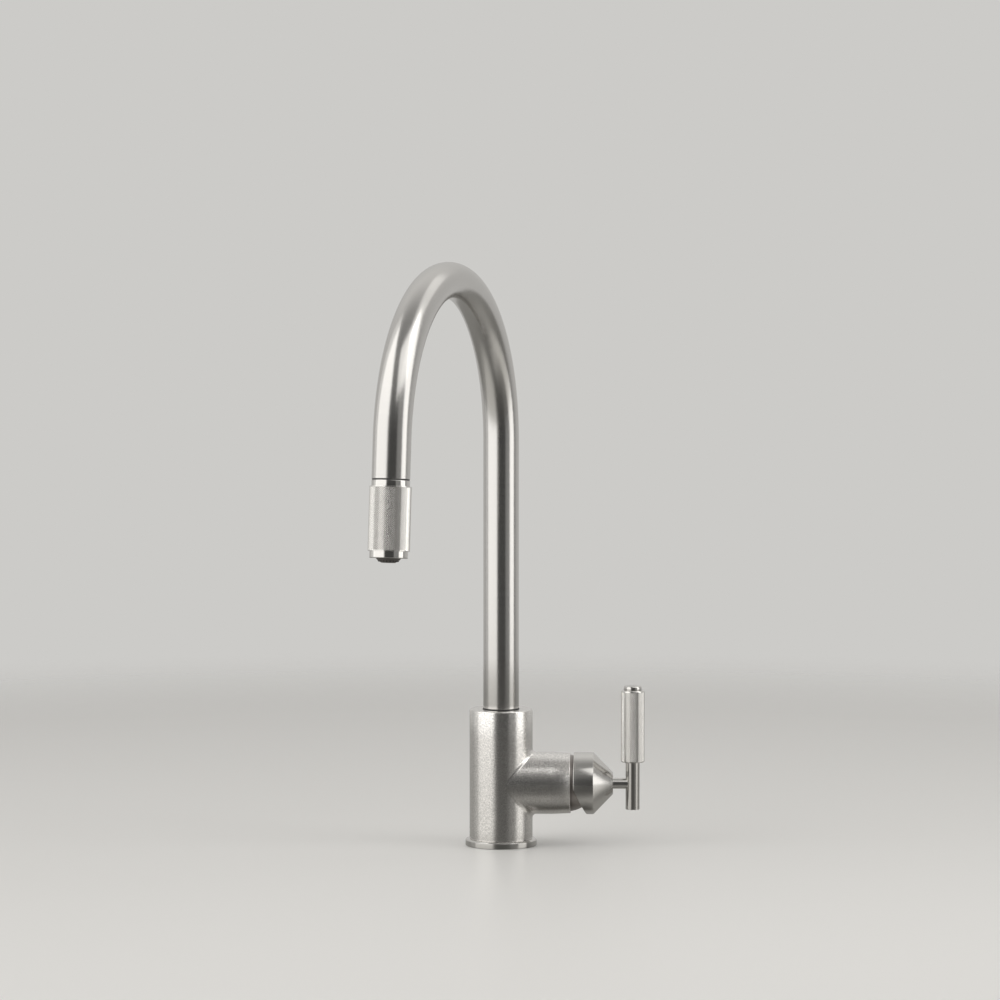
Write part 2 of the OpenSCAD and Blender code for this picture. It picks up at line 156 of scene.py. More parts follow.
def arc(radius, centre, first, last, count):
    """Outline points round a centre on the axis, between two angles from the axis."""
    return [
        (radius * math.sin(turn), centre + radius * math.cos(turn))
        for turn in np.linspace(first, last, count)]


def ring_outline(inner, outer, start, end, fillet):
    """A plain ring with rounded edges."""
    return soften([
        (inner, start, fillet), (outer, start, fillet), (outer, end, fillet), (inner, end, fillet)])


def band(ring, following):
    """The faces between two rings of vertices, either of which may be a single vertex."""
    count = max(len(ring), len(following))
    faces = []
    for i in range(count if len(ring) + len(following) > 2 else 0):
        j = (i + 1) % count
        if len(ring) == 1:
            faces.append((ring[0], following[j], following[i]))
        elif len(following) == 1:
            faces.append((ring[i], ring[j], following[0]))
        else:
            faces.append((ring[i], ring[j], following[j], following[i]))
    return faces


def bands(rings, closed=False):
    """The faces from each ring of vertices to the next, and back to the first if closed."""
    faces = []
    following = rings[1:] + rings[:1] if closed else rings[1:]
    for ring, after in zip(rings, following):
        faces += band(ring, after)
    return faces


def rings_of(outline, angles, offset=0):
    """Vertices, grain coordinates and rings of an outline turned through the angles."""
    steps = np.diff(np.array(outline), axis=0, prepend=[outline[0]])
    lengths = np.cumsum(np.hypot(steps[:, 0], steps[:, 1]))
    points, grain, rings = [], [], []
    for (radius, height), length in zip(outline, lengths):
        turns = [0.0] if radius < HAIR else angles
        rings.append([offset + len(points) + k for k in range(len(turns))])
        for turn in turns:
            points.append(polar(radius, turn, height))
            grain.append(polar(radius, turn, length))
    return points, grain, rings


def turned(outline, steps=ROUND):
    """A closed outline of (radius, height) points, turned about Z."""
    points, grain, rings = rings_of(outline, evenly(steps))
    return points, bands(rings, closed=True), grain


def skin_of(outline, angles):
    """The skin of an outline turned through the angles, open at the outline's ends."""
    points, grain, rings = rings_of(outline, angles)
    return points, bands(rings), grain


def together(*shapes):
    """Several shapes as one."""
    points, faces, grain = [], [], []
    for more_points, more_faces, more_grain in shapes:
        start = len(points)
        points += [tuple(point) for point in more_points]
        grain += [tuple(point) for point in more_grain]
        faces += [tuple(start + corner for corner in face) for face in more_faces]
    return points, faces, grain


def moved(shape, place):
    """A shape carried to another place, with its grain."""
    points, faces, grain = shape
    return [tuple(place @ Vector(point)) for point in points], faces, grain


def rod_shape(radius, start, end, place=UP, steps=SMALL_ROUND):
    """A closed round rod along a frame's Z."""
    return moved(turned([(0, start), (radius, start), (radius, end), (0, end)], steps), place)


def grid_faces(rows, columns, closed):
    """Quads of a grid of vertices whose columns may close on themselves."""
    faces = []
    for row in range(rows - 1):
        low, high = row * columns, (row + 1) * columns
        for column in range(columns if closed else columns - 1):
            after = (column + 1) % columns
            faces.append((low + column, low + after, high + after, high + column))
    return faces


def knurled(inner, radius, start, end, starts, rim, depth, flat, edge):
    """A ring with a diamond knurl between two plain rims.

    The pyramids stand on a lattice of half-pitch cells. Where row + column is even a
    pyramid has its centre, and where it is odd four grooves cross.
    """
    cell = math.pi / starts
    low, high = start + rim, end - rim
    rows = 2 * round((high - low) / (radius * cell) / 2)
    rise = (high - low) / rows
    columns = 2 * starts
    points, faces, index = [], [], {}

    def corner(kind, column, row, east=0, north=0, reach=radius):
        index[kind, column, row] = len(points)
        points.append(polar(reach, (column + east) * cell, low + row * rise + north * rise))

    for row in range(rows + 1):
        for column in range(columns):
            if (row + column) % 2:
                corner("deep", column, row, reach=radius - depth)
                continue
            corner("east", column, row, east=flat)
            corner("west", column, row, east=-flat)
            if row < rows:
                corner("north", column, row, north=flat)
            if row > 0:
                corner("south", column, row, north=-flat)
    for row in range(rows + 1):
        for column in range(row % 2, columns, 2):
            east = index["deep", (column + 1) % columns, row]
            west = index["deep", (column - 1) % columns, row]
            top = {side: index.get((side, column, row)) for side in ("east", "north", "west", "south")}
            if row < rows:
                north = index["deep", column, row + 1]
                faces.append((east, north, top["north"], top["east"]))
                faces.append((north, west, top["west"], top["north"]))
            if row > 0:
                south = index["deep", column, row - 1]
                faces.append((west, south, top["south"], top["west"]))
                faces.append((south, east, top["east"], top["south"]))
            faces.append([vertex for vertex in top.values() if vertex is not None])

    # the rims: a ring of three vertices for each pyramid joins the knurl's ragged end
    ends = []
    for row in (0, rows):
        ring = []
        for column in range(0, columns, 2):
            corner("rim", column + 1, row)
            between = index["rim", column + 1, row]
            west, east = index["west", column, row], index["east", column, row]
            after = index["west", (column + 2) % columns, row]
            ring += [west, east, between]
            faces.append((east, between, after, index["deep", column + 1, row]))
        ends.append(ring)
    angles = [(column + part) * cell for column in range(0, columns, 2) for part in (-flat, flat, 1)]
    bore_edge = 0.2 * MM
    outline = soften([
        (radius, low, 0), (radius, start, edge), (inner, start, bore_edge),
        (inner, end, bore_edge), (radius, end, edge), (radius, high, 0)])
    more, _, rings = rings_of(outline[1:-1], angles, offset=len(points))
    points += more
    faces += bands([ends[0]] + rings + [ends[1]])
    return points, faces, points


# ---------- pieces ----------

def add_object(name, data):
    """A new object in the scene."""
    made = bpy.data.objects.new(name, data)
    bpy.context.scene.collection.objects.link(made)
    return made


def mesh_of(name, points, faces, grain=None, weld=0.0):
    """A mesh with its faces turned outwards. Vertices nearer than weld become one."""
    mesh = bpy.data.meshes.new(name)
    mesh.from_pydata(points, [], faces)
    if grain:
        layer = mesh.attributes.new("grain", "FLOAT_VECTOR", "POINT")
        layer.data.foreach_set("vector", np.array(grain, np.float32).ravel())
    work = bmesh.new()
    work.from_mesh(mesh)
    if weld:
        bmesh.ops.remove_doubles(work, verts=work.verts, dist=weld)
    bmesh.ops.recalc_face_normals(work, faces=work.faces)
    work.to_mesh(mesh)
    work.free()
    return mesh


def shade(made, sharp):
    """Smooth shading with the edges over an angle kept sharp."""
    mesh = made.data
    mesh.polygons.foreach_set("use_smooth", [True] * len(mesh.polygons))
    mesh.set_sharp_from_angle(angle=math.radians(sharp))


def piece(name, shape, place, body, slot, nodes=(), look=None, weld=0.0, sharp=SHARP):
    """A new piece from a shape, riding on a body and standing for CAD nodes."""
    points, faces, grain = shape
    mesh = mesh_of(name, [place @ Vector(point) for point in points], faces, grain, weld)
    mesh.materials.append(materials[look or slot])
    made = add_object(name, mesh)
    shade(made, sharp)
    if body:
        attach(made, body)
    if nodes:
        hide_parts(*nodes)
    return made


def turned_piece(name, corners, *where, steps=ROUND, arcs=4, **more):
    """A new piece turned from softened corners. The rest is as piece() takes it."""
    return piece(name, turned(soften(corners, arcs), steps), *where, **more)


def plain_ring(node, place, body, fillet, steps=ROUND):
    """A CAD ring again, with its edges rounded."""
    shape = turned(ring_outline(*turned_size(node, place), fillet), steps)
    piece(node + "_detail", shape, place, body, node_slots[node], [node])


def apply_modifiers(made):
    """Makes what a piece's modifiers give its own mesh."""
    bpy.context.view_layer.update()
    evaluated = made.evaluated_get(bpy.context.evaluated_depsgraph_get())
    result = bpy.data.meshes.new_from_object(evaluated)
    made.modifiers.clear()
    made.data = result


def cut(made, *shapes, sharp=SHARP):
    """Takes closed shapes, given in the shared frame, out of a piece."""
    for points, faces, _ in shapes:
        cutter = add_object("tool", mesh_of("tool", points, faces))
        step = made.modifiers.new("cut", "BOOLEAN")
        step.operation = "DIFFERENCE"
        step.object = cutter
        apply_modifiers(made)
        bpy.data.objects.remove(cutter)
    shade(made, sharp)


def chamfer(made, width, least_angle):
    """A narrow rounded chamfer along a piece's edges over an angle."""
    step = made.modifiers.new("edges", "BEVEL")
    step.width = width
    step.segments = 2
    step.limit_method = "ANGLE"
    step.angle_limit = math.radians(least_angle)
    apply_modifiers(made)


# ---------- finishes ----------

def fill(node, inputs):
    """Fills a node's sockets with links or plain values."""
    for key, value in inputs.items():
        if isinstance(value, bpy.types.NodeSocket):
            node.id_data.links.new(value, node.inputs[key])
        else:
            node.inputs[key].default_value = value


def add_node(tree, kind, inputs=None, output=0, **settings):
    """An output of a new shader node, whose settings are made and sockets filled."""
    node = tree.nodes.new("ShaderNode" + kind)
    for name, value in settings.items():
        setattr(node, name, value)
    fill(node, inputs or {})
    return node.outputs[output]


def math_node(tree, operation, *values):
    """A math node's value, from links or plain numbers."""
    return add_node(tree, "Math", dict(enumerate(values)), operation=operation)


def map_range(tree, value, source, target=(0.0, 1.0), smooth=False):
    """A value carried from one range to another."""
    ends = dict(zip(("From Min", "From Max", "To Min", "To Max"), (*source, *target)))
    kind = "SMOOTHSTEP" if smooth else "LINEAR"
    return add_node(tree, "MapRange", {"Value": value, **ends}, interpolation_type=kind)


def noise(tree, place, scale, detail):
    """A noise texture's factor, in cells per metre, alike or its own along each axis."""
    scale = scale if isinstance(scale, tuple) else (scale, scale, scale)
    stretched = add_node(tree, "Mapping", {"Vector": place, "Scale": scale})
    return add_node(tree, "TexNoise", {"Vector": stretched, "Scale": 1.0, "Detail": detail})


def scaled(colour, factor):
    """A colour made lighter or darker, with its alpha."""
    return [min(1, channel * factor) for channel in colour] + [1]


materials = {}


def finish(name, colour, rough, metallic=0.0, spread=0.04, wander=0.04, grain=2500, depth=10e-6,
           patch=60, along_grain=False, fleck=0.0):
    """Keeps a procedural finish: fine grain as bump, and wide patches in colour and roughness.

    With a fleck the colour follows the fine grain instead of the patches. The smaller the
    fleck, the harder its edges.
    """
    made = bpy.data.materials.new(name)
    made.use_nodes = True
    tree = made.node_tree
    if along_grain:
        place = add_node(tree, "Attribute", output="Vector", attribute_name="grain")
    else:
        place = add_node(tree, "TexCoord", output="Object")
    fine = noise(tree, place, grain, 3)
    wide = noise(tree, place, patch, 4)
    both = math_node(tree, "ADD", fine, wide)
    tint = map_range(tree, fine, (0.5 - fleck, 0.5 + fleck)) if fleck else wide
    tints = {"Factor": tint, "A": scaled(colour, 1 - spread), "B": scaled(colour, 1 + spread)}
    fill(tree.nodes["Principled BSDF"], {
        "Base Color": add_node(tree, "Mix", tints, "Result", data_type="RGBA"),
        "Metallic": metallic,
        "Roughness": map_range(tree, both, (0.5, 1.5), (rough - wander, rough + wander)),
        "Normal": add_node(tree, "Bump", {"Height": fine, "Distance": depth})})
    materials[name] = made
    return tree


def braid_finish(name, colour):
    """Woven braid: two sets of strands that cross on the hose, with shade painted into the gaps between them."""
    strand_count = 12
    strand_pitch = 2.2 * MM
    strand_depth = 0.22 * MM
    # painted shade: the colour is darkened in the gaps between the strands
    gap_from = -0.6  # where the colour starts to lighten out of the gaps between strands
    painted_gap_shade = 0.35
    tree = finish(name, colour, 0.55, spread=0.12, along_grain=True)
    kinds = {node.type: node for node in tree.nodes}
    place = kinds["ATTRIBUTE"].outputs["Vector"]
    x, y, z = (add_node(tree, "SeparateXYZ", {"Vector": place}, side) for side in "XYZ")
    turn = math_node(tree, "ARCTAN2", y, x)
    along = math_node(tree, "MULTIPLY", z, FULL_TURN / strand_pitch)
    strands = []
    for side in (-1, 1):
        around = math_node(tree, "MULTIPLY", turn, strand_count * side)
        strands.append(math_node(tree, "SINE", math_node(tree, "ADD", around, along)))
    height = math_node(tree, "MAXIMUM", *strands)
    lit = map_range(tree, height, (gap_from, 1.0))
    fill(kinds["BUMP"], {"Height": height, "Distance": strand_depth})
    # painted shade: the base colour darkens towards the gaps between the strands
    fill(kinds["MIX"], {"Factor": lit, "A": scaled(colour, painted_gap_shade)})


# turned steel's grain is long round the piece and fine along it
TURNED = {"metallic": 1.0, "spread": 0.03, "grain": (60, 60, 5200), "along_grain": True}
STEEL_PATCH = (50, 50, 1400)
MOULDED = {"grain": 2200, "patch": 160}

finish("blasted_steel", (0.81, 0.795, 0.775), 0.235, 1.0, spread=0.16, wander=0.03,
       grain=1050, depth=52e-6, patch=130, fleck=0.13)
finish("satin_steel", (0.62, 0.61, 0.595), 0.21, wander=0.03, depth=6e-6, patch=(40, 40, 900), **TURNED)
finish("turned_steel", (0.68, 0.67, 0.65), 0.19, wander=0.03, depth=7e-6, patch=STEEL_PATCH, **TURNED)
finish("polished_steel", (0.66, 0.65, 0.63), 0.11, wander=0.03, depth=5e-6, patch=STEEL_PATCH, **TURNED)
finish("knurled_steel", (0.76, 0.75, 0.73), 0.16, 1.0, grain=3000, depth=4e-6, patch=300)
finish("dome_steel", (0.33, 0.305, 0.29), 0.34, wander=0.05, depth=4e-6, patch=(50, 50, 900),
       **{**TURNED, "spread": 0.04})
finish("plain_steel", (0.50, 0.50, 0.50), 0.33, 1.0, spread=0.06, wander=0.07,
       grain=1500, depth=8e-6, patch=200)
finish("brass", (0.72, 0.56, 0.28), 0.28, 1.0, spread=0.07, wander=0.08,
       grain=1400, depth=8e-6, patch=150)
finish("black_rubber", (0.020, 0.020, 0.021), 0.66, spread=0.25, wander=0.08,
       grain=1800, depth=22e-6, patch=120)
finish("black_plastic", (0.018, 0.018, 0.019), 0.55, spread=0.2, wander=0.08, depth=12e-6, **MOULDED)
finish("white_plastic", (0.80, 0.80, 0.775), 0.42, spread=0.02, wander=0.06, **MOULDED)
finish("grey_plastic", (0.22, 0.228, 0.238), 0.45, spread=0.08, wander=0.07, depth=12e-6, **MOULDED)
finish("nozzle_grey", (0.115, 0.105, 0.098), 0.36, spread=0.15, wander=0.08,
       grain=2600, depth=12e-6, patch=300)
finish("ceramic", (0.88, 0.86, 0.80), 0.14, spread=0.02, grain=900, depth=2e-6, patch=200)
braid_finish("hose_braid", (0.30, 0.30, 0.31))

node_slots = {part["node"]: part["material_slot"] for part in frame["record"]["subparts"]}
for node, cad in frame["nodes"].items():
    cad.data.materials.clear()
    cad.data.materials.append(materials[node_slots[node]])


# ---------- the body casting ----------

CAST_FILLET = 3.2 * MM
PATCH_REACH = 36 * MM  # how far the joined patch runs above and below the branch's axis
PATCH_TURN = 120  # and round the body to each side, in degrees
PATCH_STEP = 2  # degrees between the body's columns
PATCH_RISES = 36  # steps up each side of the patch


def union_gap(points, body_r, branch_r):
    """Signed distance to the body and branch, joined by a rolling-ball fillet."""
    taper = 20.0  # shrinks the branch where it is inside the body, per metre
    branch_start = 0.19 * body_r
    x, y, z = points[:, 0], points[:, 1], points[:, 2] - branch_z
    from_body = np.hypot(x, y)
    from_branch = np.hypot(y, z)
    to_body = from_body - body_r
    to_branch = from_branch - branch_r + taper * np.maximum(0, branch_start - x) ** 2
    facing = y * y / (from_body * from_branch)
    blend = CAST_FILLET * np.clip(1 - facing, 0, 1)
    inside_body = np.maximum(blend - to_body, 0)
    inside_branch = np.maximum(blend - to_branch, 0)
    return np.maximum(blend, np.minimum(to_body, to_branch)) - np.hypot(inside_body, inside_branch)


def settle(points, body_r, branch_r):
    """Moves points onto the joined surface."""
    probe = 2e-6
    rounds = 14
    least_slope = 0.2  # keeps a step short where the slope is slight

    def gap(places):
        return union_gap(places, body_r, branch_r)

    for _ in range(rounds):
        slope = np.stack([
            (gap(points + side) - gap(points - side)) / (2 * probe) for side in probe * np.eye(3)], axis=1)
        size = np.maximum((slope * slope).sum(axis=1), least_slope)
        points = points - slope * (gap(points) / size)[:, None]
    return points


def joined_patch(body_r, branch_r, branch_side):
    """The skin where body and branch meet, out to branch_side, and its edge's angles there."""
    rows = 26
    crowding = 1.7  # rows close up towards the line where body and branch meet
    corner = 20.0  # angle of the patch's upper right corner about the branch, in degrees
    wide = np.arange(-PATCH_TURN, PATCH_TURN, PATCH_STEP, float)
    tall = np.linspace(-PATCH_REACH, PATCH_REACH, PATCH_RISES + 1)[:-1]
    side = np.full(PATCH_RISES, PATCH_TURN)
    end = np.full(len(wide), PATCH_REACH)
    edge_turn = np.radians(np.concatenate([wide, side, -wide, -side]))
    edge_height = np.concatenate([-end, tall, end, -tall])
    lower = np.linspace(180 + corner, 360 - corner, len(wide) + 1)[:-1]
    right = np.linspace(-corner, corner, PATCH_RISES + 1)[:-1]
    about = np.radians(np.concatenate([lower, right, lower - 180, right + 180]))

    meet_y = branch_r * np.cos(about)
    meet_x = np.sqrt(np.maximum(body_r ** 2 - meet_y ** 2, 0))
    meet_height = branch_r * np.sin(about)
    share = (1 - (1 - np.linspace(0, 1, rows + 1)) ** crowding)[:, None]
    turn = edge_turn + (np.arctan2(meet_y, meet_x) - edge_turn) * share
    on_body = np.stack([
        body_r * np.cos(turn), body_r * np.sin(turn),
        branch_z + edge_height + (meet_height - edge_height) * share], axis=2)
    outwards = branch_side + (meet_x - branch_side) * share[::-1]
    on_branch = np.stack(np.broadcast_arrays(outwards, meet_y, branch_z + meet_height), axis=2)[1:]
    patch = np.concatenate([on_body, on_branch]).reshape(-1, 3)
    count = len(about)
    patch[count:-count] = settle(patch[count:-count], body_r, branch_r)
    points = [tuple(point) for point in patch]
    return (points, grid_faces(2 * rows + 1, count, True), points), list(about)


def cast_body():
    """The upright body with its branch, in one skin with a cast fillet between them."""
    points = corners_in("body_casting", UP)
    top, bottom = points[:, 2].max(), points[:, 2].min()
    body_r = -points[:, 0].min()
    branch_end = points[:, 0].max()
    branch = corners_in("body_casting", BRANCH)
    far = branch[branch[:, 2] > 0.8 * branch_end]
    far_radii = np.hypot(far[:, 0], far[:, 1])
    branch_r, cavity_r = far_radii.max(), far_radii.min()
    clearance = 0.05 * MM
    bore_r = turned_size("glide_ring_upper", UP)[1] + clearance
    bore_floor = turned_size("thrust_washer", UP)[2] - clearance
    _, shank_r, _, shank_top = turned_size("mounting_shank", UP)
    seat = turned_size("cartridge_base", BRANCH)[2]
    hose_way_r = 5.5 * MM
    patch_end = 0.73 * branch_end
    patch, about = joined_patch(body_r, branch_r, patch_end)

    # the rest of the body's wall, its top, bore and shank socket
    low, high = branch_z - PATCH_REACH, branch_z + PATCH_REACH
    outline = [(body_r, high)] + soften([
        (body_r, top, 1.0 * MM), (bore_r, top, 0.3 * MM), (bore_r, bore_floor, 0),
        (hose_way_r, bore_floor, 0), (hose_way_r, shank_top, 0), (shank_r, shank_top, 0),
        (shank_r, bottom, 0), (body_r, bottom, 0.4 * MM)]) + [(body_r, low)]
    wall = skin_of(outline, [math.radians(PATCH_STEP * k) for k in range(360 // PATCH_STEP)])
    back_turns = np.arange(PATCH_TURN, 360 - PATCH_TURN + PATCH_STEP, PATCH_STEP)
    back = [
        polar(body_r, math.radians(turn), level)
        for level in np.linspace(low, high, PATCH_RISES + 1) for turn in back_turns]
    back_wall = back, grid_faces(PATCH_RISES + 1, len(back_turns), False), back

    # the branch's end and the cartridge cavity
    outline = [(branch_r, patch_end)] + soften([
        (branch_r, branch_end, 0.6 * MM), (cavity_r, branch_end, 0.3 * MM),
        (cavity_r, seat, 0), (0, seat, 0)])
    end = moved(skin_of(outline, about), BRANCH)
    made = piece(
        "body_skin", together(patch, wall, back_wall, end),
        UP, "faucet_body", "blasted_steel", ["body_casting"], weld=2e-6)

    # tapped ports under the body, their ways to the cartridge, and the stop screw's hole
    mounts = {mount["name"]: mount for mount in frame["record"]["mounts"]}
    way_tops = {"inlet_left": branch_z, "inlet_right": branch_z, "mixed_outlet": branch_z - 9 * MM}
    tools = []
    for name, way_top in way_tops.items():
        x, y, _ = mounts[name]["pos_m"]
        radius = mounts[name]["dims"]["r_mm"] * MM
        thread_top = shank_top + mounts[name]["dims"]["length_mm"] * MM
        way_r = 0.88 * radius
        port = turned([
            (0, shank_top - MM), (radius, shank_top - MM), (radius, thread_top),
            (way_r, thread_top), (way_r, way_top), (0, way_top)], 32)
        tools.append(moved(port, Matrix.Translation((x, y, 0))))
    screw_axis = frame_along((0, 0, middle("swivel_stop_screw", 2)), (0, 1, 0))
    screw_r = turned_size("swivel_stop_screw", screw_axis)[1]
    tools.append(rod_shape(screw_r, bore_r - MM, body_r + MM, screw_axis, 32))
    cut(made, *tools)


cast_body()


# ---------- flange, and the clamp under the deck ----------

def base_flange():
    """The flange, bevelled round its top, with the groove for its gasket."""
    inner, outer, start, end = turned_size("base_flange", UP)
    groove_in, groove_out, _, groove_top = turned_size("base_gasket", UP)
    bevel = 0.9 * MM
    fillet = 0.3 * MM
    turned_piece("flange_detail", [
        (inner, start, 0), (groove_in, start, 0), (groove_in, groove_top, 0),
        (groove_out, groove_top, 0), (groove_out, start, 0), (outer, start, fillet / 2),
        (outer, end - bevel, fillet), (outer - bevel, end, fillet), (inner, end, 0)],
        UP, "faucet_body", "turned_steel", ["base_flange"], "polished_steel")


def threaded_shank():
    """The shank, with its thread cut as a real helix."""
    inner, outer, start, end = turned_size("mounting_shank", UP)
    pitch = 1.5 * MM
    depth = 0.8 * MM
    end_bevel = 0.6 * MM
    plain_from = -2 * MM
    relief_low, relief_high, relief = -40 * MM, -38.5 * MM, 1.0 * MM
    per_pitch, columns = 6, 96
    rows = round((plain_from - start) / pitch * per_pitch)
    angles = evenly(columns)
    points = []
    for row in range(rows + 1):
        level = start + (plain_from - start) * row / rows
        fade = min(1, (level - start) / pitch, (plain_from - level) / pitch)
        for turn in angles:
            phase = (level / pitch - turn / FULL_TURN) % 1
            dip = depth * fade * abs(2 * phase - 1)
            if relief_low <= level <= relief_high:
                dip = relief
            points.append(polar(outer - max(dip, (1 - fade) * end_bevel), turn, level))
    more, _, rings = rings_of([(outer, end), (inner, end), (inner, start)], angles, offset=len(points))
    lowest, highest = list(range(columns)), list(range(rows * columns, len(points)))
    faces = grid_faces(rows + 1, columns, True) + bands([highest] + rings + [lowest])
    points += more
    piece("shank_detail", (points, faces, points), UP, "faucet_body", "brass", ["mounting_shank"], sharp=40)


def hexagon(radius, turn):
    """Distance from a hexagon's centre to its edge at an angle, with a corner at angle 0."""
    flat = radius * math.cos(math.pi / 6)
    return flat / math.cos(turn % (math.pi / 3) - math.pi / 6)


def clamp_nut():
    """The hexagon nut, with its corners chamfered as turned."""
    inner, outer, start, end = turned_size("mounting_nut", UP)
    columns = 120
    face_r = outer * math.cos(math.pi / 6) * 0.985
    chamfer_slope = math.tan(math.radians(30))
    points, rings = [], []
    for turn in evenly(columns):
        reach = hexagon(outer, turn)
        drop = (reach - face_r) * chamfer_slope
        section = (
            (inner, start), (face_r, start), (reach, start + drop),
            (reach, end - drop), (face_r, end), (inner, end))
        rings.append([len(points) + k for k in range(len(section))])
        points += [polar(radius, turn, level) for radius, level in section]
    shape = points, bands(rings, closed=True), points
    made = piece("clamp_nut", shape, UP, "faucet_body", "brass", ["mounting_nut"], sharp=20)
    cut(made, *at_jacks(rod_shape(jack_r, start - MM, end + MM, steps=48)), sharp=20)


def socket_screw(radius, head_r, start, head_end, end, socket_r, socket_depth):
    """A socket head screw along Z, with its head at the lower end."""
    angles = evenly(48)
    outline = soften([
        (head_r, start, 0.4 * MM), (head_r, head_end, 0.15 * MM), (radius, head_end, 0),
        (radius, end, 0.3 * MM)]) + [(0, end)]
    points, _, rings = rings_of(outline, angles)
    mouth = []
    for level in (start, start + socket_depth):
        mouth.append([len(points) + k for k in range(len(angles))])
        points += [polar(hexagon(socket_r, turn), turn, level) for turn in angles]
    points.append((0, 0, start + socket_depth))
    mouth.append([len(points) - 1])
    return points, bands(rings) + bands([rings[0]] + mouth), points


def at_jacks(shape):
    """A shape at the place of each jack screw."""
    return [moved(shape, Matrix.Translation((side * jack_x, 0, 0))) for side in (-1, 1)]


def jack_screw_pair():
    """The two socket head screws that tighten the clamp."""
    _, _, start, end = turned_size("jack_screws", UP)
    head_end = start + 4 * MM
    screw = socket_screw(jack_r, jack_head_r, start, head_end, end, 2.3 * MM, 2.2 * MM)
    piece("jack_screw_pair", together(*at_jacks(screw)), UP, "faucet_body", "plain_steel", ["jack_screws"])


jack_r = 2.5 * MM
jack_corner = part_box("jack_screws")[1]
jack_head_r = jack_corner.y
jack_x = jack_corner.x - jack_head_r

base_flange()
threaded_shank()
plain_ring("clamp_gasket", UP, "faucet_body", 0.5 * MM)
plain_ring("clamp_washer", UP, "faucet_body", 0.25 * MM)
clamp_nut()
jack_screw_pair()


# ---------- gooseneck: the tube and the hose inside it ----------

mouth = Vector(joints["spray_spin"]["pos_m"])
axis = Vector(joints["spray_pull"]["axis"]).normalized()
lean = math.asin(math.hypot(axis.x, axis.y))
away = Vector((mouth.x, mouth.y, 0)).normalized()
across = Vector((-away.y, away.x, 0))
outlet_in, tube_r, outlet_start, outlet_end = turned_size("nozzle_ring", HEAD)
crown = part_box("spout_tube")[1].z
reach = math.hypot(mouth.x, mouth.y)
rise = crown - tube_r - mouth.z
bend_r = (reach - math.tan(lean) * rise) / (1 + math.cos(lean) - math.tan(lean) * (1 - math.sin(lean)))
bend_z = crown - tube_r - bend_r
bend_angle = math.pi - lean
tail = (bend_z + bend_r * math.sin(lean) - mouth.z) / math.cos(lean)
bend_end = bend_z + bend_r * bend_angle  # lengths along the gooseneck count from the deck
mouth_at = bend_end + tail
BEND_GAP = 2.2 * MM  # between rings in the bend


def on_gooseneck(points):
    """Points of a straight tube along Z, carried onto the gooseneck. Z is the length along it."""
    carried = []
    for x, y, length in points:
        turn = min(max((length - bend_z) / bend_r, 0), bend_angle)
        out = bend_r * (1 - math.cos(turn))
        up = min(length, bend_z) + bend_r * math.sin(turn)
        beyond = max(0, length - bend_end)
        out += beyond * math.sin(turn)
        up += beyond * math.cos(turn)
        centre = away * out + Vector((0, 0, up))
        outwards = Vector((0, 0, math.sin(turn))) - away * math.cos(turn)
        carried.append(tuple(centre + across * x + outwards * y))
    return carried


def stations(start, end, gap_straight):
    """Lengths along the gooseneck at which a tube has a ring."""
    stops = [start]
    while stops[-1] < end - HAIR:
        bent = bend_z - HAIR <= stops[-1] < bend_end - HAIR
        following = stops[-1] + (BEND_GAP if bent else gap_straight)
        for border in (bend_z, bend_end, end):
            if stops[-1] < border - HAIR < following:
                following = border
        stops.append(following)
    return stops


def spout_tube():
    """The bent tube, open right through, with rounded lips."""
    wall = 1.2 * MM
    lip = 0.35 * MM
    foot = turned_size("glide_ring_upper", UP)[3]
    inner_r, lip_r = tube_r - wall, tube_r - lip
    stops = stations(foot + lip, mouth_at - lip, gap_straight=40 * MM)
    steps = 5
    quarter = [k / steps * math.pi / 2 for k in range(1, steps)]
    outline = [(tube_r, stop) for stop in stops]
    outline += [(lip_r + lip * math.cos(turn), mouth_at - lip + lip * math.sin(turn)) for turn in quarter]
    outline += [(lip_r, mouth_at), (inner_r, mouth_at)]
    outline += [(inner_r, stop) for stop in reversed(stops)]
    outline += [(inner_r, foot), (lip_r, foot)]
    outline += [(lip_r + lip * math.sin(turn), foot + lip - lip * math.cos(turn)) for turn in quarter]
    points, faces, grain = turned(outline)
    piece("gooseneck", (on_gooseneck(points), faces, grain), UP, "spout", "satin_steel", ["spout_tube"])


def hose_stretch(name, stops, lengths, body):
    """A stretch of the hose with a ring at each stop. Its braid is laid out by the lengths."""
    inner_r, hose_r = 3.3 * MM, 4.5 * MM
    columns = 48
    outline = [(hose_r, stop) for stop in stops] + [(inner_r, stop) for stop in reversed(stops)]
    points, faces, grain = turned(outline, columns)
    along = lengths + lengths[::-1]
    grain = [(x, y, along[k // columns]) for k, (x, y, _) in enumerate(grain)]
    return piece(name, (on_gooseneck(points), faces, grain), UP, body, "hose_braid", ["spray_hose"])


def spray_hose():
    """The braided hose: one stretch in the spout up to the bend's end, and one from there on to the head."""
    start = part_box("spray_hose")[0].z
    short_of_ferrule = 0.3 * MM
    hose_end = mouth_at + turned_size("hose_ferrule", HEAD)[3] - short_of_ferrule
    held = stations(start, bend_end, gap_straight=6 * MM)
    hose_stretch("braided_hose", held, held, "spout")

    # rings in the stretch beyond the bend, laid out so that they would be evenly spaced with the head pulled right
    # out
    samples, rings = 2001, 240
    pull = joints["spray_pull"]["range_m"][1]
    share = np.linspace(0, 1, samples)
    drawn = (hose_end - bend_end) * share + pull * share * share * (3 - 2 * share)
    pulled = np.linspace(0, drawn[-1], rings)
    moving = bend_end + (hose_end - bend_end) * np.interp(pulled, drawn, share)
    drawn_hose = hose_stretch("braided_hose_end", list(moving), list(bend_end + pulled), None)
    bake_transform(drawn_hose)


spout_tube()
spray_hose()
plain_ring("glide_ring_upper", UP, "spout", 0.12 * MM)


# ---------- spray head ----------

core_in = tube_r - 2.5 * MM
sleeve_in, _, sleeve_start, sleeve_end = turned_size("knurled_sleeve", HEAD)


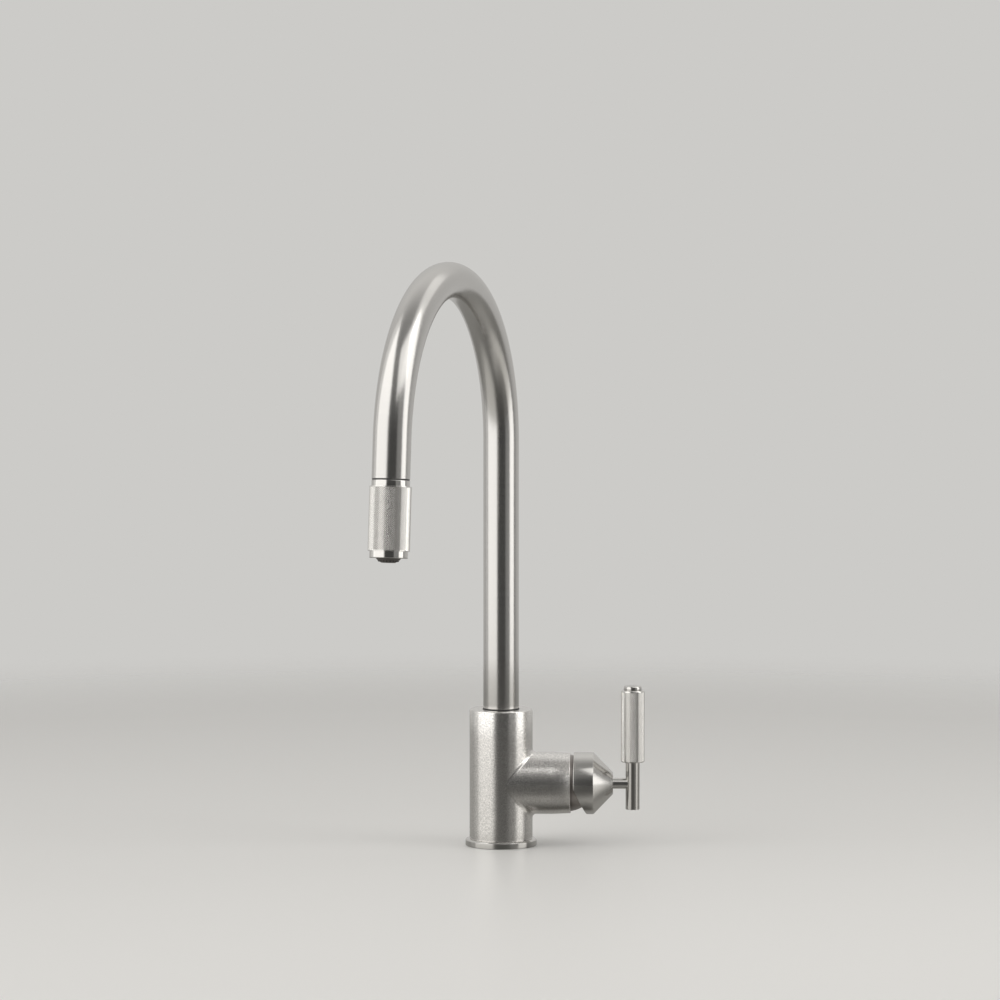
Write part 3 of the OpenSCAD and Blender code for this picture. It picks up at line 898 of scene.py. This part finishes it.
def spray_shell():
    """The head's core, from the neck that docks in the spout to the sleeve's seat."""
    _, outer, neck_start, _ = turned_size("spray_shell", HEAD)
    neck_out, neck_in = 10.5 * MM, 7.5 * MM
    collar_start = 0.8 * MM
    core_floor = turned_size("flow_tube", HEAD)[2] - 0.2 * MM
    turned_piece("head_shell", [
        (neck_in, neck_start, 0.3 * MM), (neck_out, neck_start, 1.2 * MM), (neck_out, collar_start, 0),
        (outer, collar_start, 0.35 * MM), (outer, sleeve_start, 0), (sleeve_in, sleeve_start, 0),
        (sleeve_in, sleeve_end, 0), (core_in, sleeve_end, 0), (core_in, core_floor, 0),
        (neck_in, core_floor, 0)], HEAD, "spray_head", "satin_steel", ["spray_shell"], "polished_steel")


def sleeve():
    """The knurled sleeve of the spray head."""
    shape = knurled(
        *turned_size("knurled_sleeve", HEAD), starts=62, rim=0.7 * MM, depth=0.26 * MM, flat=0.44,
        edge=0.3 * MM)
    piece("sleeve_knurl", shape, HEAD, "spray_head", "knurled_steel", ["knurled_sleeve"], sharp=15)


def nozzle_ring():
    """The plain ring at the outlet, with a rounded lip."""
    turned_piece("outlet_ring", [
        (outlet_in, outlet_start, 0), (core_in, outlet_start, 0), (core_in, sleeve_end, 0),
        (tube_r, sleeve_end, 0), (tube_r, outlet_end, 0.6 * MM), (outlet_in, outlet_end, 0.4 * MM)],
        HEAD, "spray_head", "satin_steel", ["nozzle_ring"], "polished_steel")


def spray_face():
    """The domed spray face, with a dish in its middle for the aerator."""
    _, outer, start, end = turned_size("nozzle", HEAD)
    hollow_r, hollow_end = 5 * MM, outlet_end - 1.5 * MM
    shoulder_r, shoulder = 7.9 * MM, outlet_end + 1.5 * MM
    crown_r, crown_end = 5.8 * MM, outlet_end + 2.8 * MM
    lip_out, lip_in = 4.9 * MM, 3.9 * MM
    dish_r, dish = 3.6 * MM, outlet_end + 1.6 * MM
    turned_piece("spray_face", [
        (hollow_r, start, 0), (outer, start, 0), (outer, outlet_end, 0.1 * MM),
        (shoulder_r, shoulder, 1.5 * MM), (crown_r, crown_end, 1.0 * MM),
        (lip_out, end - 0.1 * MM, 0.3 * MM), (lip_in, end - 0.2 * MM, 0.2 * MM),
        (dish_r, dish, 0.2 * MM), (0, dish, 0), (0, hollow_end, 0), (hollow_r, hollow_end, 0)],
        HEAD, "spray_head", "nozzle_grey", ["nozzle"], steps=96)


def spray_nubs():
    """The soft nubs in a ring on the spray face, each with a hole down its middle."""
    count = 18
    circle_r = 6.9 * MM
    level = outlet_end + 1.75 * MM
    slant = 0.75
    root, tip = -0.8 * MM, 0.75 * MM
    root_r, tip_r = 0.62 * MM, 0.46 * MM
    hole_r, hole_end = 0.24 * MM, 0.1 * MM
    nub = turned(soften([
        (0, root, 0), (root_r, root, 0), (tip_r, tip, 0.12 * MM), (hole_r, tip, 0.05 * MM),
        (hole_r, hole_end, 0), (0, hole_end, 0)], 2), 16)
    nubs = []
    for turn in evenly(count):
        leaning = (math.cos(turn) * slant, math.sin(turn) * slant, 1)
        nubs.append(moved(nub, frame_along(polar(circle_r, turn, level), leaning)))
    piece("spray_nubs", together(*nubs), HEAD, "spray_head", "black_rubber")


def aerator():
    """The aerator's screen: a shallow dish with round ribs."""
    dish_r = 3.5 * MM
    back, edge, centre = outlet_end + 1.55 * MM, outlet_end + 1.9 * MM, outlet_end + 2.1 * MM
    rib_low, rib_high = outlet_end + 1.8 * MM, outlet_end + 2.5 * MM
    half = 0.18 * MM
    shapes = [turned(soften([
        (0, back, 0), (dish_r, back, 0), (dish_r, edge, 0.1 * MM), (0, centre, 0)], 2), 48)]
    for radius in (0.8 * MM, 1.7 * MM, 2.6 * MM):
        rib = ring_outline(radius - half, radius + half, rib_low, rib_high, 0.08 * MM)
        shapes.append(turned(rib, 48))
    piece("aerator_screen", together(*shapes), HEAD, "spray_head", "grey_plastic")


def ferrule():
    """The ferrule, crimped in three bands onto the hose."""
    inner, outer, start, end = turned_size("hose_ferrule", HEAD)
    crimps = 3
    dip = 0.35 * MM
    slope = 0.3 * MM
    fillet = 0.25 * MM
    width = (end - start) / (2 * crimps + 1)
    corners = [(inner, start, 0.15 * MM), (outer, start, 0.3 * MM)]
    for k in range(crimps):
        low = start + width * (2 * k + 1)
        high = low + width
        corners += [
            (outer, low, fillet), (outer - dip, low + slope, fillet),
            (outer - dip, high - slope, fillet), (outer, high, fillet)]
    corners += [(outer, end, 0.3 * MM), (inner, end, 0.15 * MM)]
    turned_piece("crimped_ferrule", corners, HEAD, "hose_end", "plain_steel", ["hose_ferrule"],
                 steps=SMALL_ROUND, arcs=3)


def poppet_spring():
    """The check valve's spring: a coil of round wire, which in the real valve shortens as the poppet opens."""
    inner, outer, start, end = turned_size("poppet_spring", HEAD)
    wire = (outer - inner) / 2
    coils, steps, sides = 4, 24, 8
    rows = coils * steps + 1
    points = []
    for row in range(rows):
        turn = FULL_TURN * row / steps
        level = start + wire + (end - start - 2 * wire) * row / (rows - 1)
        for about in evenly(sides):
            radius = inner + wire + wire * math.cos(about)
            points.append(polar(radius, turn, level + wire * math.sin(about)))
    first, last = range(sides), range((rows - 1) * sides, rows * sides)
    faces = grid_faces(rows, sides, True) + [tuple(first), tuple(last)]
    made = piece(
        "poppet_coil", (points, faces, points), HEAD, "spray_head", node_slots["poppet_spring"],
        ["poppet_spring"], sharp=60)
    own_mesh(made)


spray_shell()
sleeve()
nozzle_ring()
spray_face()
spray_nubs()
aerator()
ferrule()
poppet_spring()
plain_ring("hose_nut", HEAD, "spray_head", 0.25 * MM, SMALL_ROUND)


# ---------- valve and lever ----------

CAP_SHARP = 28.0
pivot = joints["lever_lift"]["pos_m"][0]


def valve_dome():
    """The dome that the lever's cap tips over."""
    _, outer, start, _ = turned_size("dome_cover", BRANCH)
    ball_r, wall = 22.1 * MM, 1.2 * MM
    inner_r = ball_r - wall
    hole_r = 14.5 * MM
    foot = start + 1.4 * MM
    count = 40
    inside = arc(inner_r, pivot, math.asin(hole_r / inner_r), math.acos((start - pivot) / inner_r), count)
    outside = arc(ball_r, pivot, math.acos((start - pivot) / ball_r), math.asin(hole_r / ball_r), count)
    outside = [point for point in outside if point[1] > foot + 0.1 * MM]
    foot_in = ball_r * math.sin(math.acos((foot - pivot) / ball_r))
    skirt = [(outer, start), (outer, foot), (foot_in, foot)]
    shape = turned(inside + skirt + outside)
    piece("valve_dome", shape, BRANCH, "faucet_body", "dome_steel", ["dome_cover"])


def slanted_cut(start):
    """The wedge cut out of the cap's lower half, wider the further down it goes."""
    top = branch_z - 2 * MM
    far = 40 * MM
    slope = math.tan(math.radians(25.2))
    near = start - 5 * MM
    corners = [(near, top), (start, top), (start + far * slope, top - far), (near, top - far)]
    points = [(x, y, z) for y in (-far, far) for x, z in corners]
    sides = [(k, (k + 1) % 4, (k + 1) % 4 + 4, k + 4) for k in range(4)]
    return points, [(0, 1, 2, 3), (7, 6, 5, 4)] + sides, points


def lever_cap():
    """The cap: a turned cylinder and cone, hollowed by a sphere and relieved by a slanted cut."""
    cap = corners_in("lever_cap", BRANCH)
    radii = np.hypot(cap[:, 0], cap[:, 1])
    start, end, outer = cap[:, 2].min(), cap[:, 2].max(), radii.max()
    near = 1e-5
    shoulder = cap[radii > outer - near][:, 2].max()
    tip_r = radii[cap[:, 2] > end - near].max()
    steps = 160
    made = turned_piece("cap_shell", [
        (0, start, 0), (outer, start, 0.45 * MM), (outer, shoulder, 0.25 * MM),
        (tip_r, end, 0.25 * MM), (0, end, 0)],
        BRANCH, "lever", "turned_steel", ["lever_cap"], steps=steps, sharp=CAP_SHARP)
    hollow = arc(23.1 * MM, pivot, 0, math.pi, 90)
    stem_r, stem_end = 4 * MM, turned_size("lever_stem", BRANCH)[3] + 0.5 * MM
    screw_axis = frame_along((middle("cap_set_screw", 0), 0, branch_z), (0, 0, -1))
    cut(made,
        moved(turned(hollow, steps), BRANCH),
        slanted_cut(start),
        rod_shape(stem_r, 70 * MM, stem_end, BRANCH, 48),
        rod_shape(2 * MM, 3 * MM, 30 * MM, screw_axis, 32),
        sharp=CAP_SHARP)
    chamfer(made, 0.22 * MM, 35)
    shade(made, CAP_SHARP)


def lever_rod():
    """The rod from the cap to the bar, its end cut to the bar's round."""
    rod_r = turned_size("lever_rod", BRANCH)[1]
    start = turned_size("lever_cap", BRANCH)[3] - 1.0 * MM
    bar_r = turned_size("lever_bar", BAR)[1]
    bar_x = BAR.translation.x
    sunk = 0.1 * MM
    points, rings = [(0, 0, start)], [[0]]
    for share in (0.0, 0.5, 1.0):
        rings.append([len(points) + k for k in range(SMALL_ROUND)])
        for turn in evenly(SMALL_ROUND):
            x, y, _ = polar(rod_r, turn, 0)
            end = bar_x - math.sqrt(bar_r ** 2 - x ** 2) + sunk
            points.append((x, y, start + (end - start) * share))
    points.append((0, 0, bar_x - bar_r + sunk))
    rings.append([len(points) - 1])
    shape = points, bands(rings), points
    piece("handle_rod", shape, BRANCH, "lever", "turned_steel", ["lever_rod"], "polished_steel")


def lever_bar():
    """The upright bar."""
    _, outer, start, end = turned_size("lever_bar", BAR)
    edge = 0.3 * MM
    turned_piece(
        "handle_bar", [(0, start, 0), (outer, start, edge), (outer, end, edge), (0, end, 0)],
        BAR, "lever", "turned_steel", ["lever_bar"], "polished_steel", steps=96)


def lever_grip():
    """The knurled grip and its rounded end cap."""
    inner, outer, start, end = turned_size("lever_grip", BAR)
    shape = knurled(
        inner, outer, start, end, starts=38, rim=1.2 * MM, depth=0.25 * MM, flat=0.44, edge=1.0 * MM)
    piece("grip_knurl", shape, BAR, "lever", "knurled_steel", ["lever_grip"], sharp=15)
    _, cap_r, _, cap_end = turned_size("grip_end_cap", BAR)
    plug_r, plug_foot = inner - 0.05 * MM, end - 4.4 * MM
    turned_piece("grip_cap", [
        (0, plug_foot, 0), (plug_r, plug_foot, 0), (plug_r, end, 0), (cap_r, end, 0.2 * MM),
        (cap_r, cap_end, 1.3 * MM), (0, cap_end, 0)],
        BAR, "lever", "turned_steel", ["grip_end_cap"], "polished_steel", steps=96, arcs=6)


valve_dome()
lever_cap()
lever_rod()
lever_bar()
lever_grip()


# ---------- floor, light and camera ----------

SEEN_FROM = (0.1393, -3.0349, 0.4468)
HEADING, LOOKING_DOWN = -2.644, 3.3008  # degrees clockwise from +Y, and below level
LENS, SENSOR = 139.83, 36


def stage_floor():
    """A pale floor at the deck's level that fades out, and is seen from above only."""
    radius, rings, columns = 1.63, 24, 96
    fade_from, fade_to = 0.90, 1.60
    below_deck = 0.2 * MM
    outline = [(radius * k / rings, 0.0) for k in range(rings + 1)]
    points, faces, _ = skin_of(outline, evenly(columns))
    mesh = mesh_of("floor", points, faces)
    floor = add_object("floor", mesh)
    floor.location = (0, 0, -below_deck)
    if mesh.polygons[0].normal.z < 0:
        mesh.flip_normals()
    made = bpy.data.materials.new("floor")
    made.use_nodes = True
    tree = made.node_tree
    pale = tree.nodes["Principled BSDF"]
    fill(pale, {"Base Color": (0.80, 0.795, 0.78, 1), "Roughness": 0.42})
    # what the faucet reflects is a darker, brushed worktop
    worktop = add_node(tree, "BsdfPrincipled", {
        "Base Color": (0.42, 0.415, 0.40, 1), "Metallic": 1.0, "Roughness": 0.34})
    place = add_node(tree, "TexCoord", output="Object")
    length = add_node(tree, "VectorMath", {0: place}, "Value", operation="LENGTH")
    fade = map_range(tree, length, (fade_from, fade_to), smooth=True)
    below = add_node(tree, "NewGeometry", output="Backfacing")
    hidden = math_node(tree, "MAXIMUM", fade, below)
    to_camera = add_node(tree, "LightPath", output="Is Camera Ray")
    solid = add_node(tree, "MixShader", {0: to_camera, 1: worktop, 2: pale.outputs["BSDF"]})
    clear = add_node(tree, "BsdfTransparent")
    shown = add_node(tree, "MixShader", {0: hidden, 1: solid, 2: clear})
    fill(tree.nodes["Material Output"], {"Surface": shown})
    mesh.materials.append(made)


def surroundings():
    """A pale backdrop for the camera, and a room that is darker towards the user's side."""
    world = bpy.data.worlds.new("room")
    bpy.context.scene.world = world
    world.use_nodes = True
    tree = world.node_tree
    backdrop = tree.nodes["Background"]
    fill(backdrop, {"Color": (0.604, 0.597, 0.578, 1)})
    place = add_node(tree, "TexCoord", output="Generated")
    y, z = (add_node(tree, "SeparateXYZ", {"Vector": place}, side) for side in "YZ")
    depth = map_range(tree, y, (-0.22, 0.66), (0.07, 0.58), smooth=True)
    above = map_range(tree, z, (0.15, 0.95), (0.0, 0.22), smooth=True)
    strength = math_node(tree, "ADD", depth, above)
    room = add_node(tree, "Background", {"Color": (1.0, 0.985, 0.955, 1), "Strength": strength})
    to_camera = add_node(tree, "LightPath", output="Is Camera Ray")
    shown = add_node(tree, "MixShader", {0: to_camera, 1: room, 2: backdrop.outputs["Background"]})
    fill(tree.nodes["World Output"], {"Surface": shown})


def softbox(name, centre, facing, width, height, radiance):
    """A soft area light with level upper and lower edges."""
    lamp = bpy.data.lights.new(name, "AREA")
    lamp.shape = "RECTANGLE"
    lamp.size = width
    lamp.size_y = height
    lamp.energy = radiance * math.pi * width * height
    lamp.color = (1.0, 0.985, 0.96)
    box = add_object(name, lamp)
    box.location = centre
    box.rotation_euler = Vector(facing).to_track_quat("-Z", "Y").to_euler()
    box.visible_camera = False


def camera():
    """The camera, in front and a little above, looking slightly down."""
    turn, pitch = math.radians(HEADING), math.radians(LOOKING_DOWN)
    level = Vector((math.sin(turn), math.cos(turn), 0))
    aim = level * math.cos(pitch) - Vector((0, 0, math.sin(pitch)))
    data = bpy.data.cameras.new("camera")
    data.lens = LENS
    data.sensor_width = SENSOR
    made = add_object("camera", data)
    made.location = SEEN_FROM
    made.rotation_euler = aim.to_track_quat("-Z", "Y").to_euler()
    bpy.context.scene.camera = made


stage_floor()
surroundings()
softbox("left_wide", (-1.70, -2.22, 1.04), (1, 0, 0), width=5.69, height=5.25, radiance=0.42)
softbox("left_bright", (-1.645, -1.855, 1.04), (1, 0, 0), width=3.64, height=5.25, radiance=0.95)
softbox("right_wide", (1.84, -2.01, 1.04), (-1, 0, 0), width=1.93, height=5.25, radiance=0.22)
softbox("right_bright", (1.785, -0.47, 0.86), (-1, 0, 0), width=1.09, height=4.55, radiance=1.50)
softbox("right_high", (1.785, 0.61, 2.875), (-1, 0, -0.6), width=3.5, height=1.75, radiance=0.40)
softbox("front_high", (0.39, -0.59, 0.96), (-0.39, 0.59, -0.75), width=0.8, height=0.55, radiance=0.98)
camera()
bpy.context.scene.view_settings.view_transform = "Standard"
